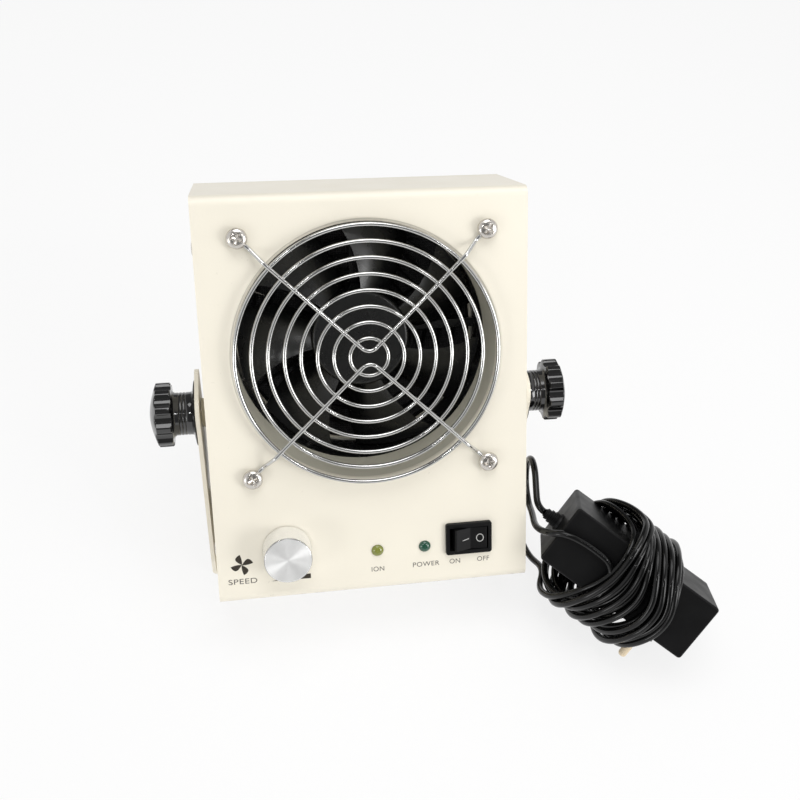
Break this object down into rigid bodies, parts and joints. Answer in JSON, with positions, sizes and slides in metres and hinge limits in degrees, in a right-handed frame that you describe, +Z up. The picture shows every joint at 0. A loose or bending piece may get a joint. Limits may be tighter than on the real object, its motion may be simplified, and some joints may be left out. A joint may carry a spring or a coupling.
{
  "type": "ionizing blower",
  "caption": "Bench ionizing blower: a sheet-steel fan head with wire guards that tilts in a U bracket on two clamp knobs, with its plug-in adapter beside it.",
  "frame": {"origin": "centre of the bracket base's underside, on the bench", "axes": "+Z up, +X to the right seen from the front, +Y away from the viewer, along the bracket's depth"},
  "size_m": [0.257, 0.1862, 0.189],
  "materials": {
    "body_paint": "warm ivory powder coat",
    "duct_paint": "ivory powder coat, inside of the duct",
    "bracket_paint": "warm ivory powder coat",
    "plated_steel": "zinc or nickel plated",
    "fan_plastic": "black glass-filled plastic",
    "coil_copper": "enamelled windings on a lamination stack",
    "magnet": "bonded ferrite",
    "insulator": "moulded insulator",
    "chromed_wire": "bright chromed wire",
    "black_plastic": "black moulded plastic",
    "black_rubber": "black soft PVC",
    "green_lens": "unlit yellow-green lens",
    "dark_lens": "unlit dark green lens",
    "turned_aluminium": "turned and polished",
    "board": "green solder mask",
    "spacer_nylon": "cream nylon",
    "knob_plastic": "black gloss moulded plastic",
    "pin_sleeve": "nickel-brass pins",
    "filter_mesh": "dark grey woven filter mesh",
    "lead_pvc": "black soft PVC"
  },
  "bodies": {
    "stand": {"tilt_bracket": "bracket_paint", "adapter_front_shell": "black_plastic", "adapter_back_shell": "black_plastic", "plug_block": "black_plastic", "plug_pins": "pin_sleeve", "adapter_relief": "black_rubber", "lead_winding": "lead_pvc", "plug_lead": "lead_pvc", "relief_lead": "lead_pvc"},
    "fan": {"fan_rotor": "fan_plastic", "fan_shaft": "plated_steel", "fan_magnet": "magnet"},
    "left_clamp": {"left_clamp_knob": "knob_plastic", "left_clamp_stud": "plated_steel"},
    "right_clamp": {"right_clamp_knob": "knob_plastic", "right_clamp_stud": "plated_steel"},
    "dial": {"speed_dial": "turned_aluminium", "speed_spindle": "turned_aluminium"},
    "rocker": {"switch_rocker": "black_plastic"},
    "head": {"front_panel": "body_paint", "rear_cover": "body_paint", "air_duct": "duct_paint", "case_screws": "plated_steel", "fan_frame": "fan_plastic", "fan_bearings": "plated_steel", "fan_stator": "coil_copper", "emitter_plate": "insulator", "emitter_needles": "plated_steel", "front_guard": "chromed_wire", "rear_guard": "chromed_wire", "guard_screws": "plated_steel", "rear_guard_screws": "plated_steel", "guard_nuts": "plated_steel", "filter_grid": "black_plastic", "filter_pad": "filter_mesh", "switch_housing": "black_plastic", "ion_led": "green_lens", "power_led": "dark_lens", "speed_potentiometer": "plated_steel", "potentiometer_nut": "plated_steel", "board_standoffs": "plated_steel", "control_board": "board", "board_components": "black_plastic", "high_voltage_module": "black_plastic", "dc_jack": "plated_steel", "jack_nut": "plated_steel", "dc_plug": "black_rubber", "pivot_inserts": "plated_steel", "pivot_spacers": "spacer_nylon"}
  },
  "joints": [
    {"name": "head_tilt", "type": "hinge", "parent": "stand", "child": "head", "pos_m": [0, 0, 0.089], "axis": [1, 0, 0], "range_deg": [-60, 60], "deforming": ["plug_lead"]},
    {"name": "fan_spin", "type": "hinge", "parent": "head", "child": "fan", "pos_m": [0, 0.01418, 0.11557], "axis": [0, 0.866, -0.5], "continuous": true},
    {"name": "left_clamp_turn", "type": "hinge", "parent": "head", "child": "left_clamp", "pos_m": [-0.085, 0, 0.089], "axis": [-1, 0, 0], "range_deg": [0, 360]},
    {"name": "right_clamp_turn", "type": "hinge", "parent": "head", "child": "right_clamp", "pos_m": [0.085, 0, 0.089], "axis": [1, 0, 0], "range_deg": [0, 360]},
    {"name": "speed_turn", "type": "hinge", "parent": "head", "child": "dial", "pos_m": [-0.0394, -0.05453, 0.05455], "axis": [0, -0.866, 0.5], "range_deg": [-150, 150]},
    {"name": "switch_rock", "type": "hinge", "parent": "head", "child": "rocker", "pos_m": [0.0432, -0.05255, 0.05098], "axis": [0, 0.5, 0.866], "range_deg": [-16, 0]}
  ]
}
